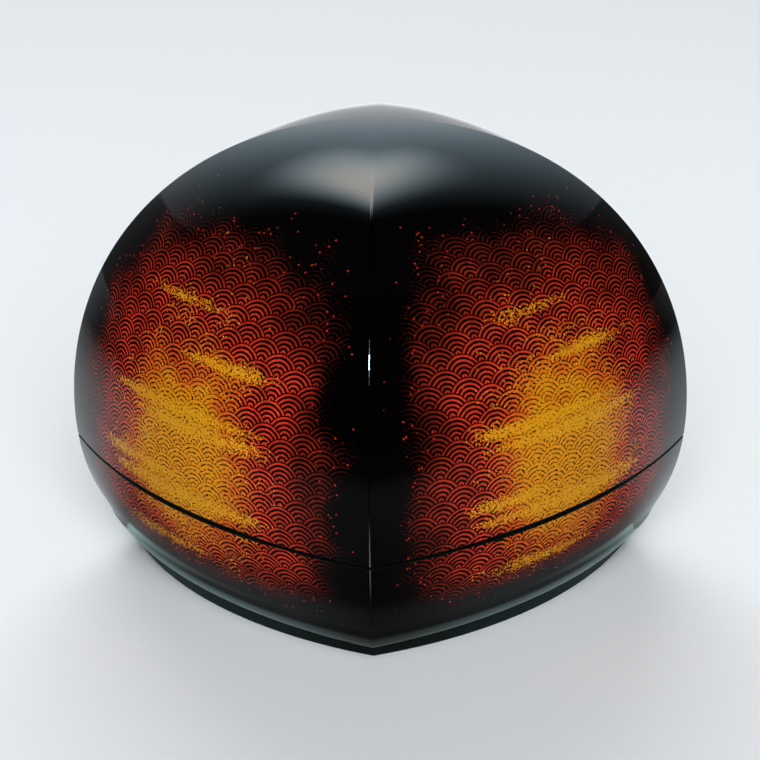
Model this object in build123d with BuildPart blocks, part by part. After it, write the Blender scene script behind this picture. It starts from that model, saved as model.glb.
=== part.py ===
"""A four-ridged lacquer box: a domed lid that lifts straight off a shallow bowl-like base.

Millimetres, +Z up. The origin is the middle of the face that the foot strips stand on.
The sides face +X, -X, +Y and -Y, and the ridges lie on the diagonals between them.
"""
import os
from math import cos, radians, sin

from build123d import *

# Outside form. A corner radius runs from the centre line out to a ridge.
widest_corner_radius = 150.0
side_ratio = 0.843  # middle of a side over its corner radius, so the sides bow outwards
widest_height = 74.0
overall_height = 219.0
seam_height = 57.5
bottom_corner_radius = 122.0
foot_height = 4.1

# Ridge curve: how far its ends pull it upright and over the crown
crown_upright_pull = 79.0
crown_level_pull = 93.0
bilge_upright_pull = 37.4
bilge_lower_pull = 7.0

# The arc that turns the wall under to the foot. Slopes are in degrees above level.
turn_radius = 20.0
turn_top_slope = 71.0
underside_slope = 20.0

# Within this corner radius the ridges soften, until the sections are round at the crown
crown_soft_radius = 66.0

# Lid
lid_wall = 4.5
mouth_strip_thickness = 2.05
mouth_strip_height = 16.0

# Base
collar_thickness = 3.0
collar_rise = 9.0
collar_depth = 10.0
collar_rebate = 0.9  # how far the collar is let into the base wall at the seam
floor_thickness = 4.0
floor_ledge_width = 8.0
foot_width = 9.0
foot_side_ratio = 0.861  # the foot bows out a little further than the box does
foot_fit_height = 4.0  # how far up the foot is worked before it is fitted to the underside

# Fits and edges
seam_gap = 0.4
collar_clearance = 0.35
strip_glue = 0.15  # the glue line between the lid shell and its mouth strips
floor_play = 0.1
seam_bevel = 0.8
collar_bevel = 0.6
foot_bevel = 0.4

# Where the form is sectioned, as shares of the three ridge curves
turn_stations = (0.0, 0.33, 0.67)
bilge_stations = (0.0, 0.1, 0.2, 0.32, 0.46, 0.62, 0.8)
crown_stations = (0.0, 0.14, 0.28, 0.42, 0.55, 0.67, 0.78, 0.87, 0.94)

# The sides, and the angle in degrees from +X that each one faces
sides = {"right": 0, "back": 90, "left": 180, "front": 270}

# The base wall is as wide at its rim as the lid's, and takes the rebate for the collar
lid_mouth_wall = lid_wall + strip_glue + mouth_strip_thickness
base_wall = lid_mouth_wall + collar_clearance + collar_rebate


def ridge_curves():
    """The outline of a ridge, bottom to top: the turned-under edge, the bilge and the crown."""
    slope = radians(underside_slope)
    turn_centre = (
        bottom_corner_radius - turn_radius * sin(slope),
        foot_height + turn_radius * cos(slope),
    )
    turn = CenterArc(turn_centre, turn_radius, underside_slope - 90, turn_top_slope - underside_slope)
    widest = (widest_corner_radius, widest_height)
    bilge = Bezier(
        turn @ 1,
        turn @ 1 + turn % 1 * bilge_lower_pull,
        (widest_corner_radius, widest_height - bilge_upright_pull),
        widest,
    )
    crown = Bezier(
        widest,
        (widest_corner_radius, widest_height + crown_upright_pull),
        (crown_level_pull, overall_height),
        (0, overall_height),
    )
    return turn, bilge, crown


def section_levels(inset):
    """Corner radius and height of each section of the form, moved in by a wall."""
    all_stations = (turn_stations, bilge_stations, crown_stations)
    levels = []
    for curve, stations in zip(ridge_curves(), all_stations):
        for share in stations:
            at = curve @ share
            along = curve % share
            levels.append((at.X - along.Y * inset / side_ratio, at.Y + along.X * inset))
    return levels


def outside_radius(height):
    """Corner radius of the outside at a height in the bilge."""
    bilge = ridge_curves()[1]
    level = Edge.make_line((0, height), (2 * widest_corner_radius, height))
    return bilge.intersect(level)[0].center().X


def section_ratio(radius):
    """Side ratio of a section: the same down the walls, and a circle's at the crown."""
    softness = max(0.0, 1 - radius / crown_soft_radius)
    return side_ratio + (1 - side_ratio) * softness


def at_angle(radius, angle):
    """A point at a radius from the centre line and an angle in degrees from +X."""
    return (radius * cos(radians(angle)), radius * sin(radians(angle)))


def side_arc(radius, facing, ratio=side_ratio):
    """One bowed side of a plan, from ridge to ridge."""
    return ThreePointArc(
        at_angle(radius, facing - 45),
        at_angle(radius * ratio, facing),
        at_angle(radius, facing + 45),
    )


def bowed_outline(radius, ratio=side_ratio):
    """The outline of a whole plan of the box, drawn in the line block that calls it."""
    for facing in sides.values():
        side_arc(radius, facing, ratio)


def strip_outline(outer_radius, inner_radius, facing, ratio=side_ratio):
    """The outline of one of four strips that meet in mitres under the ridges."""
    side_arc(outer_radius, facing, ratio)
    side_arc(inner_radius, facing, ratio)
    for end in (facing - 45, facing + 45):
        Line(at_angle(outer_radius, end), at_angle(inner_radius, end))


def closed_form(inset):
    """Lid and base as one closed form, moved in from the outside by a wall."""
    sections = []
    for radius, height in section_levels(inset):
        with BuildSketch(Plane.XY.offset(height)) as section:
            with BuildLine():
                bowed_outline(radius, section_ratio(radius))
            make_face()
        sections.append(section.sketch)
    crown_tip = Vertex(0, 0, overall_height - inset)
    with BuildPart() as form:
        loft(sections=[*sections, crown_tip])
    return form.part


def bevel_rim(rim_edges, bevel):
    """Take the sharpness off the outer four edges of a rim."""
    chamfer(rim_edges.sort_by(SortBy.LENGTH)[-4:], bevel)


def finish_piece(piece, name):
    """Name a piece and write it out."""
    piece.part.label = name
    export_step(piece.part, f"parts/{name}.step")
    print(name, round(piece.part.volume), "mm3")


os.makedirs("parts", exist_ok=True)

outside = closed_form(0)
lid_inside = closed_form(lid_wall)
strip_space = closed_form(lid_wall + strip_glue)
base_inside = closed_form(base_wall)

# Corner radii of the upright faces that meet inside the seam
mouth_radius = outside_radius(seam_height) - lid_mouth_wall / side_ratio
collar_radius = mouth_radius - collar_clearance / side_ratio
collar_inner_radius = collar_radius - collar_thickness / side_ratio
lid_mouth_height = seam_height + seam_gap

# The flat inside bottom of the base, which the floor board fills
inner_bottom_radius, inner_bottom_height = section_levels(base_wall)[0]
floor_seat_height = inner_bottom_height - floor_thickness
floor_opening_radius = inner_bottom_radius - floor_ledge_width / side_ratio

# Lid shell: a thin ridged dome, open at the mouth
with BuildPart() as lid_shell:
    add(outside)
    add(lid_inside, mode=Mode.SUBTRACT)
    split(bisect_by=Plane.XY.offset(lid_mouth_height), keep=Keep.TOP)
    bevel_rim(lid_shell.edges().group_by(Axis.Z)[0], seam_bevel)
finish_piece(lid_shell, "lid_shell")

# Lid mouth strips: curved behind to fit the shell, upright in front to slide off the collar
for side, facing in sides.items():
    with BuildPart() as mouth_strip:
        with BuildSketch(Plane.XY.offset(lid_mouth_height)):
            with BuildLine():
                strip_outline(widest_corner_radius, mouth_radius, facing)
            make_face()
        extrude(amount=mouth_strip_height)
        add(strip_space, mode=Mode.INTERSECT)
    finish_piece(mouth_strip, f"lid_mouth_strip_{side}")

# Base shell: a shallow ridged bowl with a rebate for the collar and a ledge for the floor
with BuildPart() as base_shell:
    add(outside)
    add(base_inside, mode=Mode.SUBTRACT)
    split(bisect_by=Plane.XY.offset(seam_height), keep=Keep.BOTTOM)
    with BuildSketch(Plane.XY.offset(seam_height)):
        with BuildLine():
            bowed_outline(collar_radius)
        make_face()
    extrude(amount=-collar_depth, mode=Mode.SUBTRACT)
    with BuildSketch(Plane.XY.offset(inner_bottom_height)):
        with BuildLine():
            bowed_outline(inner_bottom_radius)
        make_face()
    extrude(amount=-floor_thickness, mode=Mode.SUBTRACT)
    with BuildSketch(Plane.XY.offset(floor_seat_height)):
        with BuildLine():
            bowed_outline(floor_opening_radius)
        make_face()
    extrude(amount=foot_height - floor_seat_height, mode=Mode.SUBTRACT)
    bevel_rim(base_shell.edges().group_by(Axis.Z)[-1], seam_bevel)
finish_piece(base_shell, "base_shell")

# Floor board: dropped in from above onto the ledge
with BuildPart() as floor_board:
    with BuildSketch(Plane.XY.offset(floor_seat_height)):
        with BuildLine():
            bowed_outline(inner_bottom_radius - floor_play / side_ratio)
        make_face()
    extrude(amount=floor_thickness)
finish_piece(floor_board, "floor_board")

# Collar strips: stand in the base's rebate and rise inside the lid's mouth
for side, facing in sides.items():
    with BuildPart() as collar_strip:
        with BuildSketch(Plane.XY.offset(seam_height - collar_depth)):
            with BuildLine():
                strip_outline(collar_radius, collar_inner_radius, facing)
            make_face()
        extrude(amount=collar_depth + collar_rise)
        top_edges = collar_strip.edges().group_by(Axis.Z)[-1]
        chamfer(top_edges.filter_by(GeomType.CIRCLE), collar_bevel)
    finish_piece(collar_strip, f"collar_strip_{side}")

# Foot strips: a low ring that carries the box, fitted on top to the turned-under edge
foot_inner_radius = bottom_corner_radius - foot_width / foot_side_ratio
for side, facing in sides.items():
    with BuildPart() as foot_strip:
        with BuildSketch(Plane.XY):
            with BuildLine():
                strip_outline(bottom_corner_radius, foot_inner_radius, facing, foot_side_ratio)
            make_face()
        extrude(amount=foot_height + foot_fit_height)
        add(outside, mode=Mode.SUBTRACT)
        lower_edges = foot_strip.edges().group_by(Axis.Z)[0]
        chamfer(lower_edges.sort_by(SortBy.LENGTH)[-1], foot_bevel)
    finish_piece(foot_strip, f"foot_strip_{side}")
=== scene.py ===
"""The looks of a four-ridged lacquer box: its lacquered shells, its other pieces and a soft studio.

On the box lengths are in millimetres, and MM turns them into Blender's metres. In the studio
they are in metres. A named pair of numbers is a fade: where it starts and where it ends.
"""
from math import atan2, cos, exp, pi, radians, sin, sqrt

import bpy
import numpy as np
from mathutils import Matrix, Vector


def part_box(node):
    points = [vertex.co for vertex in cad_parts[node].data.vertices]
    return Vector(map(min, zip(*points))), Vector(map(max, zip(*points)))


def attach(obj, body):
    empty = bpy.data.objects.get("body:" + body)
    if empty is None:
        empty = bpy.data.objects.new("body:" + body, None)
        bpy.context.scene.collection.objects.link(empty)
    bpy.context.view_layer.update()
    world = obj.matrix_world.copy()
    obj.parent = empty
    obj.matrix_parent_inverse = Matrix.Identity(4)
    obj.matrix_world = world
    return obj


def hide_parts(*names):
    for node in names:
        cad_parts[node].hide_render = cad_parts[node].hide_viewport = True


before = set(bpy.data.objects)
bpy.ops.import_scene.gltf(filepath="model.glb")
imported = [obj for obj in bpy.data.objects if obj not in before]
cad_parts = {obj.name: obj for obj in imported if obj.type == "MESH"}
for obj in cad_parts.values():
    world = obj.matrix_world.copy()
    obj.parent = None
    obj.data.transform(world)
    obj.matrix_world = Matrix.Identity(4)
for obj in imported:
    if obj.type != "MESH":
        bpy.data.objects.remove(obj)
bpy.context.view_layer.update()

MM = 0.001
DEGREES = 180 / pi  # turns radians into degrees

# Form of the box: the sizes that the frame doesn't give
side_count = 4
side_ratio = 0.843  # middle of a side over its corner radius
widest_height = 74.0
bottom_corner_radius = 122.0
crown_upright_pull = 79.0
crown_level_pull = 93.0
bilge_upright_pull = 37.4
bilge_lower_pull = 7.0
turn_radius = 20.0  # of the arc that turns the wall under to the foot
turn_top_slope = radians(71)
underside_slope = radians(20)
crown_softness = 38.0  # corner radius within which the sections turn round
lid_wall = 4.5
base_wall = 7.95
collar_depth = 10.0
floor_ledge_width = 8.0

# Edges of the lacquered shells
ridge_rounding = 1.8
hollow_rounding = 3.0
seam_rounding = 0.8
foot_rounding = 0.4
small_rounding = 0.15
largest_rounding = 0.3  # of a ridge, over its corner radius

# How far the walls stop short of their rounded edges
seam_edge_room = 1.2
mouth_inside_room = 0.6
foot_edge_room = 0.8
shelf_room = 0.1

# How finely the shells are divided
level_pitch = 2.0
side_columns = 48
ridge_columns = 4  # on each half of a ridge
edge_steps = 4
turn_points = 120
curve_points = 900
crease_angle = radians(30)


def top_of(node):
    """Height of a node's top in millimetres."""
    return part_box(node)[1].z / MM


def bottom_of(node):
    """Height of a node's underside in millimetres."""
    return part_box(node)[0].z / MM


# Sizes that the frame gives
widest_corner_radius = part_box("lid_shell")[1].x / MM / side_ratio
overall_height = top_of("lid_shell")
lid_mouth_height = bottom_of("lid_shell")
seam_height = top_of("base_shell")
foot_height = bottom_of("base_shell")
collar_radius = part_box("collar_strip_right")[1].x / MM / side_ratio
collar_top = top_of("collar_strip_right")
floor_seat_height = bottom_of("floor_board")
inner_bottom_height = top_of("floor_board")


# Form


def bezier(points):
    """A cubic curve through its first and last points, as rows of corner radius and height."""
    share = np.linspace(0, 1, curve_points)[:, None]
    a, b, c, d = (np.array(p, float) for p in points)
    back = 1 - share
    return back**3 * a + 3 * back**2 * share * b + 3 * back * share**2 * c + share**3 * d


def ridge_curve():
    """The outline of a ridge from the foot to the crown: turned-under edge, bilge and crown."""
    slopes = np.linspace(underside_slope, turn_top_slope, turn_points)
    turn = np.column_stack([
        bottom_corner_radius + turn_radius * (np.sin(slopes) - sin(underside_slope)),
        foot_height + turn_radius * (cos(underside_slope) - np.cos(slopes)),
    ])
    widest = (widest_corner_radius, widest_height)
    bilge = bezier([
        turn[-1],
        turn[-1] + bilge_lower_pull * np.array([cos(turn_top_slope), sin(turn_top_slope)]),
        (widest_corner_radius, widest_height - bilge_upright_pull),
        widest,
    ])
    crown = bezier([
        widest,
        (widest_corner_radius, widest_height + crown_upright_pull),
        (crown_level_pull, overall_height),
        (0, overall_height),
    ])
    return np.vstack([turn, bilge[1:], crown[1:]])


def moved_in(curve, wall):
    """The curve moved in from the outside by a wall."""
    along = np.gradient(curve, axis=0)
    along /= np.hypot(along[:, 0], along[:, 1])[:, None]
    return curve + np.column_stack([-along[:, 1] / side_ratio, along[:, 0]]) * wall


def stretch(curve, low, high):
    """Evenly spaced points of a curve between two heights."""
    lengths = np.r_[0, np.cumsum(np.hypot(*np.diff(curve, axis=0).T))]
    start, end = np.interp((low, high), curve[:, 1], lengths)
    at = np.linspace(start, end, round((end - start) / level_pitch) + 2)
    return np.column_stack([np.interp(at, lengths, column) for column in curve.T])


def radius_at(curve, height):
    """Corner radius of a curve at a height."""
    return float(np.interp(height, curve[:, 1], curve[:, 0]))


def rounded_corner(before, corner, after, rounding):
    """Points that round a corner of a wall's section, between the points beside it."""
    corner = np.array(corner, float)
    ends = []
    for neighbour in (before, after):
        away = np.array(neighbour, float) - corner
        level = away * (side_ratio, 1)
        ends.append(corner + away * rounding / np.hypot(*level))
    share = np.linspace(0, 1, edge_steps + 1)[:, None]
    return (1 - share) ** 2 * ends[0] + 2 * share * (1 - share) * corner + share**2 * ends[1]


def section_ratio(radius):
    """Side ratio of a level section: the same down the walls, and a circle's at the crown."""
    return side_ratio + (1 - side_ratio) * exp(-((radius / crown_softness) ** 2))


def side_bow(ratio):
    """Radius of a side's arc, and how far out its centre lies, both over the corner radius.

    Half a side's chord, and the way out to it, are sqrt(0.5) of the corner radius.
    """
    rise = ratio - sqrt(0.5)
    bow = (0.5 + rise**2) / (2 * rise)
    return bow, ratio - bow


def side_points(radius, rounding):
    """One side of a level section, from the middle of one ridge to the next, facing +X.

    Gives the points and how far each lies along the side from its middle.
    """
    bow, centre = side_bow(section_ratio(radius))
    eased = min(rounding, largest_rounding * radius) / radius
    ridge = centre / sqrt(2) + sqrt((bow - eased) ** 2 - centre**2 / 2)
    ridge_x = ridge / sqrt(2)
    end = atan2(ridge_x, ridge_x - centre)

    arc = end * np.sin(np.linspace(-pi / 2, pi / 2, side_columns + 1))
    turn = np.linspace(end, pi / 4, ridge_columns + 1)[1:]
    side = np.column_stack([centre + bow * np.cos(arc), bow * np.sin(arc)])
    corner = np.column_stack([ridge_x + eased * np.cos(turn), ridge_x + eased * np.sin(turn)])
    points = np.vstack([(corner * (1, -1))[::-1], side, corner])
    along = np.r_[bow * arc, bow * end + eased * (turn - end)]
    along = np.r_[-along[: -ridge_columns - 1 : -1], along]
    return radius * points, radius * along


def ring(radius, height, rounding):
    """The points of a whole level section, and how far along its side each of one side lies."""
    points, along = side_points(radius, rounding)
    x, y = points[:-1].T
    level = []
    for side in range(side_count):
        turn = side * pi / 2
        level.append(np.column_stack([
            x * cos(turn) - y * sin(turn),
            x * sin(turn) + y * cos(turn),
            np.full(len(x), height),
        ]))
    return np.vstack(level), along


# Shells

OUTER, RIM, INNER = range(3)

pole_radius = 0.01  # a level with a smaller corner radius is one point
outside_preference = 1e-3  # the outermost of the points at the seam counts as its edge


def mesh_piece(name, vertices, faces, materials):
    """A new mesh object in the scene."""
    mesh = bpy.data.meshes.new(name)
    mesh.from_pydata(vertices, [], faces)
    for material in materials:
        mesh.materials.append(material)
    piece = bpy.data.objects.new(name, mesh)
    bpy.context.scene.collection.objects.link(piece)
    return piece


def distance_from_seam(rows, seam):
    """How far each point of a section lies along it from the seam's outside edge."""
    steps = np.diff(rows, axis=0) * (side_ratio, 1)
    along = np.r_[0, np.cumsum(np.hypot(*steps.T))]
    edge = np.argmin(np.abs(rows[:, 1] - seam) - outside_preference * rows[:, 0])
    return along - along[edge]


def shell_levels(rows, roundings):
    """The vertices of a shell, the first of each level, and how far along its side each lies.

    A level that is one point has no such lengths.
    """
    vertices, firsts, alongs = [], [], []
    for (radius, height), rounding in zip(rows, roundings):
        firsts.append(len(vertices))
        if radius < pole_radius:
            vertices.append((0, 0, height))
            alongs.append(None)
            continue
        level, along = ring(radius, height, rounding)
        vertices.extend(map(tuple, level))
        alongs.append(along)
    return vertices, firsts, alongs


def shell(name, stretches, closed, materials):
    """A walled form that follows its section round the bowed plan.

    stretches is a list of (section points, material, rounding of the ridges), in order along
    the section. A closed section starts at the foot and comes back to it, and an open one runs
    from the crown over the mouth to the crown's inside. Each face corner keeps its place on its
    side: how far across and how far up in millimetres, the share across from -1 to 1, and the
    side's number.
    """
    rows = np.vstack([points for points, _, _ in stretches])
    row_materials = [material for points, material, _ in stretches for _ in points]
    roundings = [rounding for points, _, rounding in stretches for _ in points]
    if closed:
        up = distance_from_seam(rows, seam_height)
    else:
        up = -distance_from_seam(rows, lid_mouth_height)

    vertices, firsts, alongs = shell_levels(rows, roundings)
    columns = side_columns + 2 * ridge_columns
    around = side_count * columns
    faces, places, sides, face_materials = [], [], [], []
    for low in range(len(rows) if closed else len(rows) - 1):
        high = (low + 1) % len(rows)
        for column in range(around):
            side, step = divmod(column, columns)
            corners = [(low, column, step), (low, column + 1, step + 1),
                       (high, column + 1, step + 1), (high, column, step)]
            if not closed:  # an open section runs down the outside, so its faces turn round
                corners.reverse()
            face = []
            for row, corner_column, corner_step in corners:
                pole = alongs[row] is None
                vertex = firsts[row] + (0 if pole else corner_column % around)
                if vertex in face:
                    continue
                face.append(vertex)
                across = 0.0 if pole else alongs[row][corner_step]
                half = 1.0 if pole else alongs[row][-1]
                places.append((across, up[row], across / half))
                sides.append(float(side))
            faces.append(face)
            face_materials.append(row_materials[low])

    piece = mesh_piece(name, [Vector(v) * MM for v in vertices], faces, materials)
    mesh = piece.data
    place = mesh.attributes.new("place", "FLOAT_VECTOR", "CORNER")
    place.data.foreach_set("vector", np.array(places, np.float32).ravel())
    number = mesh.attributes.new("side", "FLOAT", "CORNER")
    number.data.foreach_set("value", np.array(sides, np.float32))
    mesh.polygons.foreach_set("material_index", face_materials)
    mesh.shade_smooth()
    mesh.set_sharp_from_angle(angle=crease_angle)
    return piece


def lid_section():
    """The lid's wall from the crown down the outside, round the rim and up the inside."""
    outside = ridge_curve()
    inside = moved_in(outside, lid_wall)
    outer = stretch(outside, lid_mouth_height + seam_edge_room, overall_height)[::-1]
    inner = stretch(inside, lid_mouth_height + mouth_inside_room, overall_height - lid_wall)
    outer[0, 0] = inner[-1, 0] = 0
    mouth = [(radius_at(curve, lid_mouth_height), lid_mouth_height) for curve in (outside, inside)]
    outer_edge = rounded_corner(outer[-1], mouth[0], mouth[1], seam_rounding)
    inner_edge = rounded_corner(mouth[0], mouth[1], inner[0], small_rounding)
    return [
        (outer, OUTER, ridge_rounding),
        (outer_edge, RIM, ridge_rounding),
        (inner_edge, INNER, hollow_rounding),
        (inner, INNER, hollow_rounding),
    ]


def base_section():
    """The base's wall from the foot up the outside, over the rim, down the inside and under."""
    outside = ridge_curve()
    inside = moved_in(outside, base_wall)
    outer = stretch(outside, foot_height + foot_edge_room, seam_height - seam_edge_room)
    shelf_height = seam_height - collar_depth
    inner = stretch(inside, inner_bottom_height, shelf_height)[::-1]
    inner_bottom_radius = inner[-1, 0]
    opening_radius = inner_bottom_radius - floor_ledge_width / side_ratio
    rim = [(radius_at(outside, seam_height), seam_height), (collar_radius, seam_height)]
    rebate = (collar_radius, shelf_height)
    rebate_foot = np.array([(collar_radius, shelf_height + shelf_room), rebate])
    bottom = (bottom_corner_radius, foot_height)
    ledge = [
        (inner_bottom_radius, floor_seat_height),
        (opening_radius, floor_seat_height),
        (opening_radius, foot_height),
    ]
    return [
        (rounded_corner(ledge[-1], bottom, outer[0], foot_rounding), OUTER, ridge_rounding),
        (outer, OUTER, ridge_rounding),
        (rounded_corner(outer[-1], rim[0], rim[1], seam_rounding), RIM, ridge_rounding),
        (rounded_corner(rim[0], rim[1], rebate, small_rounding), RIM, ridge_rounding),
        (rebate_foot, RIM, ridge_rounding),
        (inner, INNER, hollow_rounding),
        (np.array(ledge[:1]), RIM, hollow_rounding),
        (rounded_corner(ledge[0], ledge[1], ledge[2], small_rounding), RIM, hollow_rounding),
        (rounded_corner(ledge[1], ledge[2], bottom, small_rounding), RIM, ridge_rounding),
    ]


# Patterns as formulas

# Colour sockets of a Mix node
MIX_FIRST, MIX_SECOND, MIX_RESULT = 6, 7, 2


class Field:
    """A number or colour that varies over a surface, so that a pattern reads as a formula."""

    def __init__(self, tree, socket):
        self.tree = tree
        self.socket = socket

    def math(self, operation, *others):
        node = self.tree.nodes.new("ShaderNodeMath")
        node.operation = operation
        for entry, value in zip(node.inputs, (self, *others)):
            feed(entry, value)
        return Field(self.tree, node.outputs[0])

    def __add__(self, other):
        return self.math("ADD", other)

    def __sub__(self, other):
        return self.math("SUBTRACT", other)

    def __mul__(self, other):
        return self.math("MULTIPLY", other)

    def __truediv__(self, other):
        return self.math("DIVIDE", other)

    def __rsub__(self, other):
        return self * -1 + other

    __radd__ = __add__
    __rmul__ = __mul__

    def size(self):
        return self.math("ABSOLUTE")

    def below(self, other):
        return self.math("LESS_THAN", other)

    def larger(self, other):
        return self.math("MAXIMUM", other)

    def from_nearest(self, pitch):
        """Distance to the nearest multiple of twice a pitch."""
        return self.math("PINGPONG", pitch)

    def ramp(self, low, high, start=0.0, end=1.0):
        """Goes smoothly from start to end as this goes from low to high."""
        node = self.tree.nodes.new("ShaderNodeMapRange")
        node.interpolation_type = "SMOOTHSTEP"
        for entry, value in zip(node.inputs, (self, low, high, start, end)):
            feed(entry, value)
        return Field(self.tree, node.outputs[0])

    def fade_out(self, low, high):
        """Goes smoothly from 1 to 0 as this goes from low to high."""
        return self.ramp(low, high, 1.0, 0.0)

    def pick(self, when_set, otherwise):
        """Goes to the first value where this is 1 and to the second where it is 0."""
        return otherwise + self * (when_set - otherwise)

    def parts(self):
        """The three parts of a vector."""
        node = self.tree.nodes.new("ShaderNodeSeparateXYZ")
        self.tree.links.new(self.socket, node.inputs[0])
        return [Field(self.tree, output) for output in node.outputs]

    def blend(self, first, second):
        """The first colour where this is 0 and the second where it is 1."""
        node = self.tree.nodes.new("ShaderNodeMix")
        node.data_type = "RGBA"
        feed(node.inputs[0], self)
        feed(node.inputs[MIX_FIRST], first)
        feed(node.inputs[MIX_SECOND], second)
        return Field(self.tree, node.outputs[MIX_RESULT])


def feed(entry, value):
    """Gives an input a field or a plain value."""
    if isinstance(value, Field):
        value.tree.links.new(value.socket, entry)
    else:
        entry.default_value = value


def length(across, up):
    """Length of a step across and up."""
    return (across * across + up * up).math("SQRT")


def attribute(tree, name, output):
    """A mesh attribute, from the output for its kind."""
    node = tree.nodes.new("ShaderNodeAttribute")
    node.attribute_name = name
    return Field(tree, node.outputs[output])


def coordinates(tree, kind):
    """Coordinates of a kind, in metres."""
    return Field(tree, tree.nodes.new("ShaderNodeTexCoord").outputs[kind])


def ray_is(tree, kind):
    """1 for the rays of a kind and 0 for the others."""
    return Field(tree, tree.nodes.new("ShaderNodeLightPath").outputs[kind])


def vector(x, y, z):
    """Three numbers as a vector."""
    node = x.tree.nodes.new("ShaderNodeCombineXYZ")
    for entry, value in zip(node.inputs, (x, y, z)):
        feed(entry, value)
    return Field(x.tree, node.outputs[0])


def noise(at, size, detail=2.0, roughness=0.5):
    """Soft noise from 0 to 1 with features of a size in the units of its vector."""
    node = at.tree.nodes.new("ShaderNodeTexNoise")
    feed(node.inputs["Vector"], at)
    node.inputs["Scale"].default_value = 1 / size
    node.inputs["Detail"].default_value = detail
    node.inputs["Roughness"].default_value = roughness
    return Field(at.tree, node.outputs["Fac"])


def flakes(at, size):
    """A number from 0 to 1 for each flake of a size, and how far each point is from its middle."""
    node = at.tree.nodes.new("ShaderNodeTexVoronoi")
    feed(node.inputs["Vector"], at)
    node.inputs["Scale"].default_value = 1 / size
    chance = Field(at.tree, node.outputs["Color"]).parts()[0]
    return chance, Field(at.tree, node.outputs["Distance"])


def bump(height, strength, distance):
    """A normal from a height, which a distance in millimetres scales."""
    node = height.tree.nodes.new("ShaderNodeBump")
    node.inputs["Strength"].default_value = strength
    node.inputs["Distance"].default_value = distance * MM
    feed(node.inputs["Height"], height)
    return Field(height.tree, node.outputs[0])


def to_linear(value):
    """A screen's brightness from 0 to 1 as Blender's linear one, by the sRGB curve."""
    return value / 12.92 if value <= 0.04045 else ((value + 0.055) / 1.055) ** 2.4


def rgb(red, green, blue):
    """A colour as it looks on a screen, from 0 to 255."""
    return (*(to_linear(value / 255) for value in (red, green, blue)), 1)


# Lacquers

black = rgb(1, 1, 1)
dark_red = rgb(44, 6, 3)
vermilion = rgb(194, 50, 28)
warm_orange = rgb(192, 84, 24)
old_gold = rgb(200, 128, 19)
bright_gold = rgb(222, 164, 28)
# Grey of the painted highlight on the ridges beside the seam
painted_ridge_highlight = rgb(92, 96, 98)
rubbed_brown = rgb(62, 30, 16)
deep_black = rgb(2, 7, 6)
cloudy_black = rgb(5, 13, 11)
inside_black = rgb(9, 8, 9)
inside_streak = rgb(24, 19, 17)

coat_ior = 1.5


def lacquer_material(name, roughness, specular, coat, coat_roughness):
    """A material under a clear coat, with its shader."""
    material = bpy.data.materials.new(name)
    material.use_nodes = True
    shader = material.node_tree.nodes["Principled BSDF"]
    shader.inputs["Roughness"].default_value = roughness
    shader.inputs["Specular IOR Level"].default_value = specular
    shader.inputs["Coat Weight"].default_value = coat
    shader.inputs["Coat Roughness"].default_value = coat_roughness
    shader.inputs["Coat IOR"].default_value = coat_ior
    return material, shader


def box_coordinates(tree):
    """The box's own coordinates in millimetres."""
    scale = tree.nodes.new("ShaderNodeVectorMath")
    scale.operation = "SCALE"
    scale.inputs["Scale"].default_value = 1 / MM
    feed(scale.inputs[0], coordinates(tree, "Object"))
    return Field(tree, scale.outputs[0])


# The decorated sides. Fades across a side go from 0 at its middle to 1 at its ridges, and fades
# up it are in millimetres above the seam. Some follow a line that wanders, by so many millimetres.
noise_middle = 0.5
side_shift, cloud_shift = 300, 70  # set the noise of each side, and the clouds in it, apart
cloud_stretch, dash_stretch = 0.5, 0.2  # draw clouds and dashes out along the side
glow_across = (0.4, 0.95)
glow_above, glow_above_wander = (66, 160), 50
glow_below, glow_below_wander = (-42, -4), 16
heat_across = (0.05, 0.7)
heat_above, heat_above_wander = (26, 118), 60
heat_below, heat_below_wander = (-46, 20), 20
heat_at_crown = 0.1
across_wander = 0.35
heat_across_wander = 0.2
# Painted highlight along the ridges beside the seam: how far from a ridge it fades, where it fades
# in above and below the seam, and how strong it is
highlight_beside_ridge = (0.1, 0.4)
highlight_above_seam = (28, 3)
highlight_below_seam = (-22, 2)
highlight_strength = 0.75

# How the colours follow the glow, the heat and the noise
red_glow = (0.05, 0.95)
red_depth, red_shallow = (0.36, 0.62), 0.55
cloud_warmth, grain_warmth = 0.45, 0.25
orange_warmth = (0.2, 0.55)
gold_warmth = (0.5, 0.85)
bright_grain = (0.3, 0.7)

# Wave scales: rows of fans, each with thin black rings
scale_radius = 10.5
ring_pitch = 2.1
line_in_dark, line_in_red = 1.05, 0.54  # share of a ring that its black line takes
line_opens = (0.0, 0.26)  # glow over which it goes from the first to the second
line_lost_in_gold = 0.34
line_thins = (0.25, 0.8)  # heat over which it gets that much thinner
line_edge = (-0.1, 0.14)
break_in_red, break_in_gold = 0.7, 2.4  # how strongly the lines break into dashes
break_heat = (0.1, 0.7)
grain_break = 0.4

# Black border along the seam: partly the lacquer's own black edge, partly painted shade of the gap
# at the seam, which is wider towards the middle of a side
border_in_middle, border_at_ridge = 1.8, 0.3
border_across = (0.3, 0.95)
border_grain = 0.5
border_edge = (-0.1, 0.1)

# Gold dust and flecks
flake_size = 0.6
dust_heat = (0.02, 0.4)
dust_glow = (0.05, 0.35)
mist_cover, cloud_cover = 0.75, 0.5
cloud_middle = 0.45
fleck_size = 1.3
fleck_share = 0.05
fleck_glow_low = (0.0, 0.1)
fleck_glow_high = (0.2, 0.5)
fleck_round = (0.45, 0.3)
fleck_strength = 0.6
dust_metal = 0.2

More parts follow.
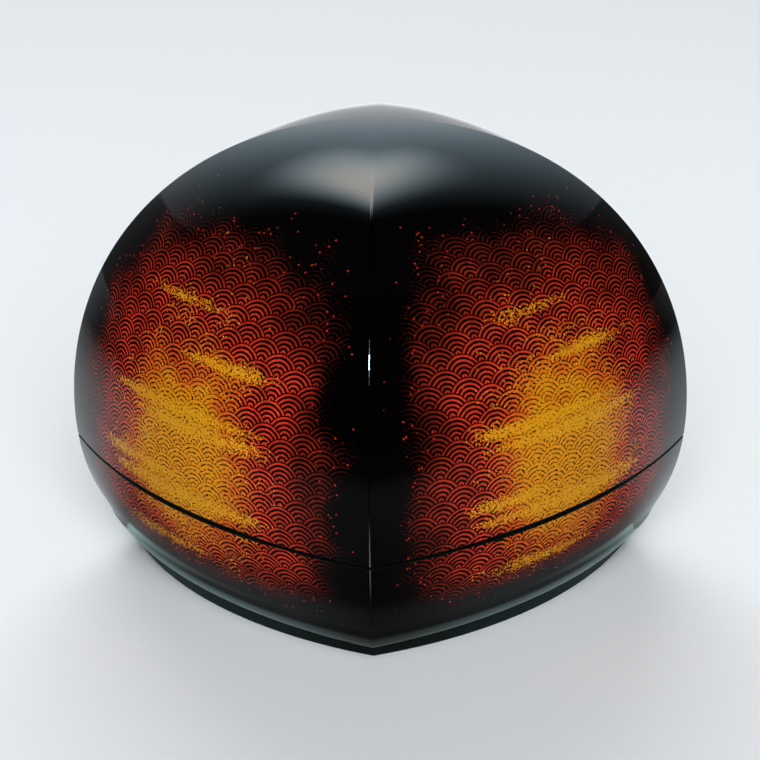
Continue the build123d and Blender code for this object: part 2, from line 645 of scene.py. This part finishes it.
# Mist bands: middle across, height above the seam, half length and half thickness, and how far
# each sways from side to side of the box
mist_bands = (
    (-30.0, -20.0, 50.0, 3.4, 14.0),
    (18.0, 9.0, 66.0, 4.2, -20.0),
    (-26.0, 17.0, 44.0, 3.2, 16.0),
    (24.0, 43.0, 50.0, 4.4, -24.0),
    (-12.0, 50.0, 58.0, 3.4, 18.0),
    (16.0, 76.0, 36.0, 3.2, -18.0),
    (-24.0, 100.0, 34.0, 2.6, 12.0),
)
mist_edge = (0.1, 1.6)
sway_by_side, sway_by_band = 1.9, 2.4  # radians of the sway's wave


def wave_scales(across, up):
    """Distance from the middle of the wave scale that lies on top at each point."""
    rise = scale_radius / 2
    row = (up / rise).math("FLOOR")
    over = up - row * rise
    odd = row.math("FLOORED_MODULO", 2.0)
    in_row = (across + odd * scale_radius).from_nearest(scale_radius)
    beside = scale_radius - in_row
    lower = length(beside, over + rise)
    same = length(in_row, over)
    upper = length(beside, rise - over)
    return lower.below(scale_radius).pick(lower, same.below(scale_radius).pick(same, upper))


def mist(across, up, side):
    """How thick the gold mist lies: 1 in the middle of a band, 0 outside them all."""
    thickest = None
    for index, (middle, height, half_length, half_thickness, sway) in enumerate(mist_bands):
        shift = (side * sway_by_side + index * sway_by_band).math("SINE") * sway
        along = (across - shift - middle) / half_length
        level = ((up - height) / half_thickness).size()
        thickness = (along * along + level).fade_out(*mist_edge)
        thickest = thickness if thickest is None else thickest.larger(thickness)
    return thickest


def glowing(from_middle, up, wander):
    """How far the lacquer glows: all of a side but its ridges, crown and foot."""
    across = from_middle.fade_out(*glow_across)
    above = (up + wander * glow_above_wander).fade_out(*glow_above)
    below = (up + wander * glow_below_wander).ramp(*glow_below)
    return across * above * below


def heated(from_middle, up, wander):
    """How hot the lacquer glows: most low in the middle of a side."""
    across = (from_middle - wander * heat_across_wander).fade_out(*heat_across)
    above = (up + wander * heat_above_wander).ramp(*heat_above, 1.0, heat_at_crown)
    below = (up + wander * heat_below_wander).ramp(*heat_below)
    return across * above * below


def decorated_lacquer():
    """Black ground with fine wave scales that glow from dark red to gold, and gold mist on top."""
    material, shader = lacquer_material(
        "decorated_lacquer", roughness=0.45, specular=0.0, coat=1.0, coat_roughness=0.012)
    tree = material.node_tree
    across, up, share = attribute(tree, "place", "Vector").parts()
    side = attribute(tree, "side", "Fac")
    at = vector(across, up, side * side_shift)

    wander = noise(at, size=30, detail=3.0) - noise_middle
    depth = noise(at, size=11, detail=4.0, roughness=0.6)
    cloud_at = vector(across * cloud_stretch, up, side * side_shift + cloud_shift)
    cloud = noise(cloud_at, size=9, detail=3.0)
    grain = noise(at, size=0.9, detail=2.0, roughness=0.6)
    unevenness = grain - noise_middle
    dash_at = vector(across * dash_stretch, up, side * side_shift)
    dashes = noise(dash_at, size=0.4, detail=1.0)

    from_middle = share.size() + wander * across_wander
    glow = glowing(from_middle, up, wander)
    heat = heated(from_middle, up, wander)

    # Black lines of the scales: even in the red, dashes in the gold, closed in the dark
    rings = wave_scales(across, up).from_nearest(ring_pitch / 2) / (ring_pitch / 2)
    lost = heat.ramp(*line_thins, 0.0, line_lost_in_gold)
    line = glow.ramp(*line_opens, line_in_dark, line_in_red) - lost
    dashed = (dashes - noise_middle) * heat.ramp(*break_heat, break_in_red, break_in_gold)
    broken = dashed + unevenness * grain_break
    paint = (rings - line - broken).ramp(*line_edge)

    # A black border along the seam, wider towards the middle of the side: partly the lacquer's own
    # black edge and partly painted shade of the gap between lid and base
    border_and_gap_shade = share.size().ramp(*border_across, border_in_middle, border_at_ridge)
    clear_of_seam = (up.size() - border_and_gap_shade - unevenness * border_grain).ramp(*border_edge)

    # Gold mist, dense inside a band and dusted out beyond it
    chance, _ = flakes(at, flake_size)
    cover = mist(across, up, side) * mist_cover + (cloud - cloud_middle) * cloud_cover
    dust = chance.below(cover * heat.ramp(*dust_heat) * glow.ramp(*dust_glow))

    # Sparse flecks in the dark round the glow
    fleck_chance, from_fleck = flakes(at, fleck_size)
    near_glow = glow.ramp(*fleck_glow_low) * glow.fade_out(*fleck_glow_high)
    flecks = fleck_chance.below(near_glow * fleck_share) * from_fleck.ramp(*fleck_round)

    # Colours, from the ground up
    warmth = heat + (cloud - noise_middle) * cloud_warmth + unevenness * grain_warmth
    redness = glow.ramp(*red_glow) * depth.ramp(*red_depth, red_shallow, 1.0)
    red = redness.blend(dark_red, vermilion)
    orange = warmth.ramp(*orange_warmth).blend(red, warm_orange)
    warm = warmth.ramp(*gold_warmth).blend(orange, old_gold)
    painted = (paint * clear_of_seam).blend(black, warm)
    gold = grain.ramp(*bright_grain).blend(old_gold, bright_gold)
    gilded = (dust * clear_of_seam).blend(painted, gold)
    flecked = (flecks * fleck_strength).blend(gilded, vermilion)

    # Painted highlight: the ridges are painted a little bright beside the seam, standing in for the
    # floor's reflection in their rounding
    from_ridge = across.size() / share.size() - across.size()
    wear_and_painted_highlight = from_ridge.fade_out(*highlight_beside_ridge)
    wear_and_painted_highlight = wear_and_painted_highlight * up.ramp(*highlight_above_seam) * up.ramp(*highlight_below_seam)
    colour = (wear_and_painted_highlight * highlight_strength).blend(flecked, painted_ridge_highlight)

    feed(shader.inputs["Base Color"], colour)
    feed(shader.inputs["Metallic"], dust * dust_metal)
    feed(shader.inputs["Normal"], bump(paint + dust, strength=0.25, distance=0.05))
    ripple = noise(at, size=45, detail=0.0)
    feed(shader.inputs["Coat Normal"], bump(ripple, strength=0.5, distance=0.15))
    return material


# Black lacquer on the collar and the foot
black_cloud = (0.3, 0.8)
black_polish = (0.2, 0.8)
black_gloss, black_dull = 0.25, 0.4  # roughness
wear_deep, wear_full = 1.0, 0.1  # how far below the collar's top its wear starts and is full
wear_patch = (0.42, 0.62)
wear_strength = 0.8


def black_lacquer():
    """Glossy black lacquer, rubbed a little brown along the top of the collar."""
    material, shader = lacquer_material(
        "black_lacquer", roughness=0.35, specular=0.1, coat=0.22, coat_roughness=0.05)
    at = box_coordinates(material.node_tree)
    cloud = noise(at, size=9.0, detail=3.0)
    patches = noise(at, size=6.0, detail=4.0).ramp(*wear_patch)
    wear_and_painted_highlight = at.parts()[2].ramp(collar_top - wear_deep, collar_top - wear_full) * patches
    lacquer = cloud.ramp(*black_cloud).blend(deep_black, cloudy_black)
    polish = noise(at, size=3.0, detail=4.0)
    ripple = noise(at, size=14.0, detail=1.0)
    feed(shader.inputs["Base Color"], (wear_and_painted_highlight * wear_strength).blend(lacquer, rubbed_brown))
    feed(shader.inputs["Roughness"], polish.ramp(*black_polish, black_gloss, black_dull))
    feed(shader.inputs["Coat Normal"], bump(ripple, strength=0.5, distance=0.06))
    return material


# Satin lacquer inside
streak_stretch = 0.12  # draws the brush's streaks out along X
cloud_tone, streak_tone = 0.6, 0.4
inside_tone = (0.3, 0.75)
inside_polish = (0.2, 0.8)
inside_gloss, inside_dull = 0.28, 0.42  # roughness
cloud_relief = 4


def inner_lacquer():
    """Satin black lacquer with the faint streaks of the brush."""
    material, shader = lacquer_material(
        "inner_lacquer", roughness=0.34, specular=0.4, coat=0.35, coat_roughness=0.12)
    at = box_coordinates(material.node_tree)
    x, y, z = at.parts()
    streaks = noise(vector(x * streak_stretch, y, z), size=1.6, detail=3.0)
    cloud = noise(at, size=22.0, detail=3.0)
    tone = (cloud * cloud_tone + streaks * streak_tone).ramp(*inside_tone)
    relief = streaks + cloud * cloud_relief
    feed(shader.inputs["Base Color"], tone.blend(inside_black, inside_streak))
    feed(shader.inputs["Roughness"], streaks.ramp(*inside_polish, inside_gloss, inside_dull))
    feed(shader.inputs["Normal"], bump(relief, strength=0.3, distance=0.03))
    return material


# Studio

camera_side = radians(-43.132)  # the way from the box to the camera, from +X
camera_height_angle = radians(22.227)
camera_distance = 1.2520
camera_aim_right = 0.00037
camera_aim_up = 0.08631
camera_roll = radians(-0.5865)
camera_lens = 121.65
camera_sensor = 36.0

# Light and colour all round: what lights the box, and the backdrop that the camera sees
world_light = 0.12
backdrop_light = 0.85
backdrop_colour = rgb(244, 248, 252)

# The pale sheet that the lacquer sees behind the box. Fades are in degrees: across from straight
# behind the box, as the camera looks at it, and up from level.
sheet_across = (66, 8)
sheet_beside, sheet_middle = 0.015, 1.2  # its light at the sides and in the middle
sheet_up = (-5, 25)
sheet_foot = 0.78  # share of its light at the foot
sheet_top = (80, 70)
sheet_tint = (0.96, 1.0, 1.04, 1)
cool_up = (8, 34)
cool_tint = (0.76, 1.02, 1.16, 1)

# A bright window high in the sheet, and shade on its lower corners
window_left = (-55, -31)
window_right = (12, 53)
window_up = (39.5, 60.5)
window_slope = 0.06
window_light = 4.2
window_tint = (1.03, 1.0, 0.95, 1)
corners_across = (36, 44)
corner_light = 0.35  # share of the sheet's light
shade_slope = 0.42
shade_edge = (-1.1, 0.1)

# The floor as the camera sees it, with painted shade that darkens its colour far behind and far in
# front of the box
floor_radius = 8.0
floor_steps = 48
floor_colour = rgb(234, 239, 243)
unlit = rgb(0, 0, 0)
floor_roughness = 0.9
far_behind, far_behind_tone = (0.3, 1.5), 0.75
far_in_front, far_in_front_tone = (-1.3, -0.4), 0.72
backdrop_from = (1.0, 2.0)  # distances at which the floor turns into the backdrop

# The floor as the lacquer sees it: lit round an azimuth behind the box, darker beside it, and
# bright close to the foot. Places near the box are given by the corner radius of its plan there.
lit_azimuth = 4
lit_around = (80, 15)
lit_end = (105, 72)
unlit_tone = 0.02
lit_side_fade, lit_side_near, lit_side_far = (0.2, 0.7), 0.72, 0.42
foot_glow_inner, foot_glow_inner_tone = (0.134, 0.139), 0.28
foot_glow_outer, foot_glow_outer_tone = (0.148, 0.168), 0.4
foot_glow_front, foot_glow_front_tone = (176, 150), 0.5
foot_glow_colour = rgb(206, 239, 237)
sheet_from = (0.35, 0.9)  # distances at which the floor turns into the sheet

# Lamps: width, height, watts, azimuth and angle above level in degrees, and distance. Azimuth 0
# is behind the box and 180 at the camera.
soft_lamps = {
    "back": (3.0, 3.0, 154.0, -5, 28, 4.0),
    "front_high": (2.8, 2.8, 141.0, 178, 40, 4.4),
    "front_low": (2.4, 2.4, 64.0, 180, 20, 4.4),
}
# One bright spark with faint ends, which the lacquer shows and which lights nothing
spark_lamps = {
    "spark": (0.14, 0.15, 36.0, 178, 38.7, 1.6),
    "spark_middle": (0.1, 0.28, 1.5, 178, 38.7, 1.61),
    "spark_long": (0.1, 0.46, 1.2, 178, 38.7, 1.62),
}
soft_colour = (1.0, 1.0, 1.0)
spark_colour = (0.6, 0.85, 1.0)


def make_camera():
    """The camera at the photograph's angle."""
    away = Vector((-cos(camera_side), -sin(camera_side), 0))
    right = Vector((-sin(camera_side), cos(camera_side), 0))
    up = Vector((0, 0, 1))
    forward = away * cos(camera_height_angle) - up * sin(camera_height_angle)
    level_up = right.cross(forward)
    rolled_right = right * cos(camera_roll) + level_up * sin(camera_roll)
    rolled_up = level_up * cos(camera_roll) - right * sin(camera_roll)
    place = right * camera_aim_right + up * camera_aim_up - forward * camera_distance
    camera = bpy.data.objects.new("camera", bpy.data.cameras.new("camera"))
    camera.data.lens = camera_lens
    camera.data.sensor_width = camera_sensor
    turned = Matrix((rolled_right, rolled_up, -forward)).transposed().to_4x4()
    camera.matrix_world = Matrix.Translation(place) @ turned
    bpy.context.scene.collection.objects.link(camera)
    bpy.context.scene.camera = camera


def from_camera_line(x, y):
    """How far behind the box a place lies as the camera looks at it, and its azimuth in degrees.

    Azimuth 0 is straight behind the box, and it grows to the right.
    """
    beside = x * -sin(camera_side) + y * cos(camera_side)
    behind = x * -cos(camera_side) + y * -sin(camera_side)
    return behind, beside.math("ARCTAN2", behind) * DEGREES


def sheet_light(azimuth):
    """How bright the pale sheet behind the box is from side to side."""
    return azimuth.size().ramp(*sheet_across, sheet_beside, sheet_middle)


def make_world():
    """Soft even light. The lacquer sees a pale sheet behind the box in an otherwise dark room."""
    world = bpy.data.worlds.new("studio")
    bpy.context.scene.world = world
    world.use_nodes = True
    world.cycles.sampling_method = "NONE"
    tree = world.node_tree
    background = tree.nodes["Background"]
    x, y, z = coordinates(tree, "Generated").parts()
    _, azimuth = from_camera_line(x, y)
    elevation = z.math("ARCSINE") * DEGREES

    # The sheet turns warm and bright high up, and its lower corners are shaded from below
    window = azimuth.ramp(*window_left) * azimuth.fade_out(*window_right)
    window = window * (elevation - azimuth * window_slope).ramp(*window_up)
    corners = azimuth.size().ramp(*corners_across, 1.0, corner_light)
    above_shade = (elevation - azimuth.size() * shade_slope).ramp(*shade_edge)
    sheet = sheet_light(azimuth) * elevation.ramp(*sheet_up, sheet_foot, 1.0)
    sheet = sheet * above_shade.pick(1.0, corners) + window * window_light
    sheet = sheet * elevation.ramp(*sheet_top)
    cooled = elevation.ramp(*cool_up).blend(sheet_tint, cool_tint)
    tint = window.blend(cooled, window_tint)

    seen = ray_is(tree, "Is Camera Ray")
    mirrored = ray_is(tree, "Is Glossy Ray")
    strength = seen.pick(backdrop_light, mirrored.pick(sheet, world_light))
    feed(background.inputs["Color"], mirrored.blend(backdrop_colour, tint))
    feed(background.inputs["Strength"], strength)


def area_lamp(name, width, height, watts, azimuth, height_angle, distance, mirrored):
    """A lamp that faces the box. A mirrored one is shown by the lacquer and lights nothing."""
    lamp = bpy.data.objects.new(name, bpy.data.lights.new(name, "AREA"))
    lamp.data.shape = "RECTANGLE"
    lamp.data.size = width
    lamp.data.size_y = height
    lamp.data.energy = watts
    lamp.data.color = spark_colour if mirrored else soft_colour
    lamp.visible_glossy = mirrored
    lamp.visible_diffuse = not mirrored
    way = camera_side + pi - radians(azimuth)
    rise = radians(height_angle)
    level = Vector((cos(way), sin(way), 0)) * cos(rise)
    place = (level + Vector((0, 0, 1)) * sin(rise)) * distance
    lamp.location = place
    lamp.rotation_mode = "QUATERNION"
    lamp.rotation_quaternion = place.to_track_quat("Z", "Y")
    bpy.context.scene.collection.objects.link(lamp)


def bowed_radius(x, y):
    """Corner radius of the bowed plan that passes through a place."""
    bow, centre = side_bow(side_ratio)
    spread = bow**2 - centre**2
    facing = x.size().larger(y.size()) * centre
    root = (facing * facing + (x * x + y * y) * spread).math("SQRT")
    return (root - facing) / spread


def floor_material():
    """Plain and pale, with painted shade far behind and far in front of the box. In the lacquer it
    is lit only behind the box and close to its foot.
    """
    material = bpy.data.materials.new("floor")
    material.use_nodes = True
    tree = material.node_tree
    shader = tree.nodes["Principled BSDF"]
    shader.inputs["Roughness"].default_value = floor_roughness
    shader.inputs["Specular IOR Level"].default_value = 0.0
    x, y, _ = coordinates(tree, "Object").parts()
    behind, azimuth = from_camera_line(x, y)
    plan_radius = bowed_radius(x, y)
    mirrored = ray_is(tree, "Is Glossy Ray")
    seen = ray_is(tree, "Is Camera Ray")

    around = (azimuth - lit_azimuth).size()
    beside = plan_radius.ramp(*lit_side_fade, lit_side_near, lit_side_far)
    lit = around.ramp(*lit_around, beside, 1.0) * around.ramp(*lit_end, unlit_tone, 1.0)
    foot_glow = plan_radius.ramp(*foot_glow_inner, 1.0, foot_glow_inner_tone)
    foot_glow = foot_glow * plan_radius.ramp(*foot_glow_outer, 1.0, foot_glow_outer_tone)
    foot_glow = foot_glow * azimuth.size().ramp(*foot_glow_front, foot_glow_front_tone, 1.0)
    tone = mirrored.pick(lit.larger(foot_glow), 1.0)
    # Painted shade: the floor's colour darkens far behind and far in front of the box
    painted_distance_shade = behind.ramp(*far_behind, 1.0, far_behind_tone)
    painted_distance_shade = painted_distance_shade * behind.ramp(*far_in_front, far_in_front_tone, 1.0)
    pale = (mirrored * foot_glow).blend(floor_colour, foot_glow_colour)
    feed(shader.inputs["Base Color"], (tone * painted_distance_shade).blend(unlit, pale))

    # Far from the box the floor turns into what lies behind it, without an edge: in the lacquer
    # into the sheet, and for the camera into the backdrop
    glow = tree.nodes.new("ShaderNodeEmission")
    feed(glow.inputs["Color"], mirrored.blend(backdrop_colour, sheet_tint))
    feed(glow.inputs["Strength"], mirrored.pick(sheet_light(azimuth), backdrop_light))
    distance = length(x, y)
    turned = mirrored * distance.ramp(*sheet_from) + seen * distance.ramp(*backdrop_from)
    mix = tree.nodes.new("ShaderNodeMixShader")
    feed(mix.inputs[0], turned)
    tree.links.new(shader.outputs[0], mix.inputs[1])
    tree.links.new(glow.outputs[0], mix.inputs[2])
    tree.links.new(mix.outputs[0], tree.nodes["Material Output"].inputs["Surface"])
    return material


def make_floor():
    """A round floor under the box."""
    turns = [2 * pi * step / floor_steps for step in range(floor_steps)]
    edge = [(floor_radius * cos(turn), floor_radius * sin(turn), 0) for turn in turns]
    floor = mesh_piece("floor", edge, [list(range(floor_steps))], [floor_material()])


# Assembly

outside_finish = decorated_lacquer()
black_finish = black_lacquer()
inside_finish = inner_lacquer()
shell_finishes = [outside_finish, black_finish, inside_finish]  # for OUTER, RIM and INNER

lid = shell("lid_lacquered", lid_section(), False, shell_finishes)
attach(lid, "lid")
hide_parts("lid_shell")

base = shell("base_lacquered", base_section(), True, shell_finishes)
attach(base, "base")
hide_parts("base_shell")

for node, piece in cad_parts.items():
    if node in ("lid_shell", "base_shell"):
        continue
    finish = black_finish if node.startswith(("collar", "foot")) else inside_finish
    piece.data.materials.clear()
    piece.data.materials.append(finish)

make_camera()
make_world()
make_floor()
for name, sizes_and_place in soft_lamps.items():
    area_lamp(name, *sizes_and_place, mirrored=False)
for name, sizes_and_place in spark_lamps.items():
    area_lamp(name, *sizes_and_place, mirrored=True)

bpy.context.scene.view_settings.view_transform = "Standard"
